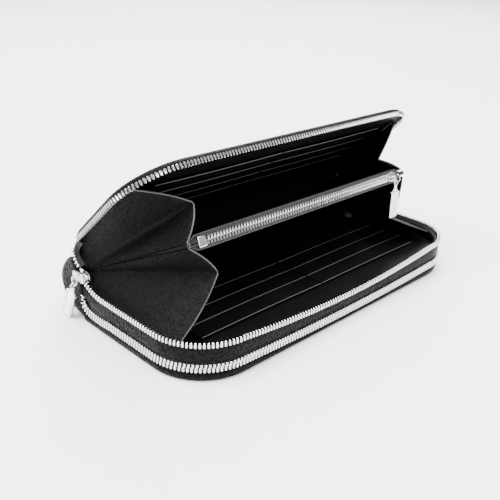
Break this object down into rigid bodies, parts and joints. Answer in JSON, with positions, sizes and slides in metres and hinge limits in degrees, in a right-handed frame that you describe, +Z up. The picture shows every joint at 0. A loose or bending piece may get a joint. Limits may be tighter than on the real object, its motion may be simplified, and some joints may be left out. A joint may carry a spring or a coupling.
{
  "type": "long wallet",
  "caption": "Long zip-around wallet in black leather with two compartments, shown open, with a zipped coin pocket between folded gussets.",
  "frame": {"origin": "centre of the underside of the bottom cover, midway between the two ends and between front edge and spine", "axes": "+X along the wallet to its right-hand end, +Y to the spine, +Z up"},
  "size_m": [0.2096, 0.1053, 0.0874],
  "materials": {
    "leather": "black pebbled full-grain leather, semi-gloss",
    "gusset": "black pebbled leather with dark grey painted edges",
    "lining": "smooth black leather lining",
    "tape": "black woven zip tape",
    "metal": "polished silver-coloured metal"
  },
  "bodies": {
    "base": {"bottom_cover": "leather", "divider_panel": "lining", "floor_card_pocket_left_1": "lining", "floor_card_pocket_left_2": "lining", "floor_card_pocket_left_3": "lining", "floor_card_pocket_left_4": "lining", "floor_card_pocket_right_1": "lining", "floor_card_pocket_right_2": "lining", "floor_card_pocket_right_3": "lining", "floor_card_pocket_right_4": "lining", "floor_lining": "lining", "left_lower_gusset": "gusset", "lower_floor_lining": "lining", "lower_gusset_left": "lining", "lower_gusset_right": "lining", "lower_zip_bottom_tape": "tape", "lower_zip_bottom_teeth": "metal", "lower_zip_top_tape": "tape", "lower_zip_top_teeth": "metal", "middle_band": "leather", "right_lower_gusset": "gusset", "spine_cover": "leather", "upper_zip_bottom_tape": "tape", "upper_zip_bottom_teeth": "metal", "upper_zip_turn_left": "metal", "upper_zip_turn_right": "metal"},
    "lid": {"left_upper_gusset": "gusset", "lid_card_pocket_left_1": "lining", "lid_card_pocket_left_2": "lining", "lid_card_pocket_left_3": "lining", "lid_card_pocket_left_4": "lining", "lid_card_pocket_right_1": "lining", "lid_card_pocket_right_2": "lining", "lid_card_pocket_right_3": "lining", "lid_card_pocket_right_4": "lining", "lid_cover": "leather", "lid_lining": "lining", "right_upper_gusset": "gusset", "upper_zip_lid_tape": "tape", "upper_zip_lid_teeth": "metal"},
    "coin_pocket": {"coin_pocket_bottom_fold": "lining", "coin_pocket_lower_wall": "lining", "coin_pocket_side_left": "lining", "coin_pocket_side_right": "lining", "coin_pocket_upper_wall": "lining", "coin_zip_bottom_stop": "metal", "coin_zip_lower_tape": "tape", "coin_zip_lower_teeth": "metal", "coin_zip_upper_tape": "tape", "coin_zip_upper_teeth": "metal"},
    "upper_slider": {"upper_zip_slider": "metal"},
    "upper_ring": {"upper_zip_ring": "metal"},
    "upper_tab": {"upper_zip_tab": "metal"},
    "lower_slider": {"lower_zip_slider": "metal"},
    "lower_ring": {"lower_zip_ring": "metal"},
    "lower_tab": {"lower_zip_tab": "metal"},
    "coin_slider": {"coin_zip_slider": "metal"},
    "coin_ring": {"coin_zip_ring": "metal"},
    "coin_tab": {"coin_zip_tab": "metal"}
  },
  "joints": [
    {"name": "lid_hinge", "type": "hinge", "parent": "base", "child": "lid", "pos_m": [0, 0.0499, 0.0069], "axis": [-1, 0, 0], "range_deg": [-41.7, 4], "deforming": ["spine_cover", "left_lower_gusset", "right_lower_gusset", "left_upper_gusset", "right_upper_gusset", "upper_zip_turn_left", "upper_zip_turn_right"]},
    {"name": "pocket_hinge", "type": "hinge", "parent": "base", "child": "coin_pocket", "pos_m": [0, 0.0499, 0.0069], "axis": [-1, 0, 0], "range_deg": [-25.1, 2.5]},
    {"name": "upper_slider_slide", "type": "slide", "parent": "base", "child": "upper_slider", "axis": [0, -0.9954, -0.0956], "range_m": [-0.0049, 0.05033]},
    {"name": "upper_ring_swing", "type": "hinge", "parent": "upper_slider", "child": "upper_ring", "pos_m": [-0.103, 0.0305, 0.0245], "axis": [0, 0.9135, 0.4067], "range_deg": [0, 90]},
    {"name": "upper_tab_swing", "type": "hinge", "parent": "upper_ring", "child": "upper_tab", "pos_m": [-0.103, 0.03229, 0.02048], "axis": [0, 0.9135, 0.4067], "range_deg": [-4, 80]},
    {"name": "lower_slider_slide", "type": "slide", "parent": "base", "child": "lower_slider", "axis": [0, -1, 0], "range_m": [0, 0.05]},
    {"name": "lower_ring_swing", "type": "hinge", "parent": "lower_slider", "child": "lower_ring", "pos_m": [0.103, 0.0279, 0.007], "axis": [0, 0, 1], "range_deg": [0, 90]},
    {"name": "lower_tab_swing", "type": "hinge", "parent": "lower_ring", "child": "lower_tab", "pos_m": [0.103, 0.0235, 0.007], "axis": [0, 0, 1], "range_deg": [-4, 80]},
    {"name": "coin_slider_slide", "type": "slide", "parent": "coin_pocket", "child": "coin_slider", "axis": [-1, 0, 0], "range_m": [0, 0.125]},
    {"name": "coin_ring_lift", "type": "hinge", "parent": "coin_slider", "child": "coin_ring", "pos_m": [0.064, -0.027, 0.05399], "axis": [-1, 0, 0], "range_deg": [-9, 86]},
    {"name": "coin_tab_swing", "type": "hinge", "parent": "coin_ring", "child": "coin_tab", "pos_m": [0.064, -0.02918, 0.05147], "axis": [0, 1, 0], "range_deg": [-9, 91]}
  ],
  "couplings": [
    {"joint": "pocket_hinge", "follows": "lid_hinge", "ratio": 0.6},
    {"joint": "upper_slider_slide", "follows": "lid_hinge", "m_per_rad": -0.069016},
    {"joint": "coin_ring_lift", "follows": "lid_hinge", "ratio": -2.0384},
    {"joint": "coin_tab_swing", "follows": "lid_hinge", "ratio": -2.1583}
  ]
}
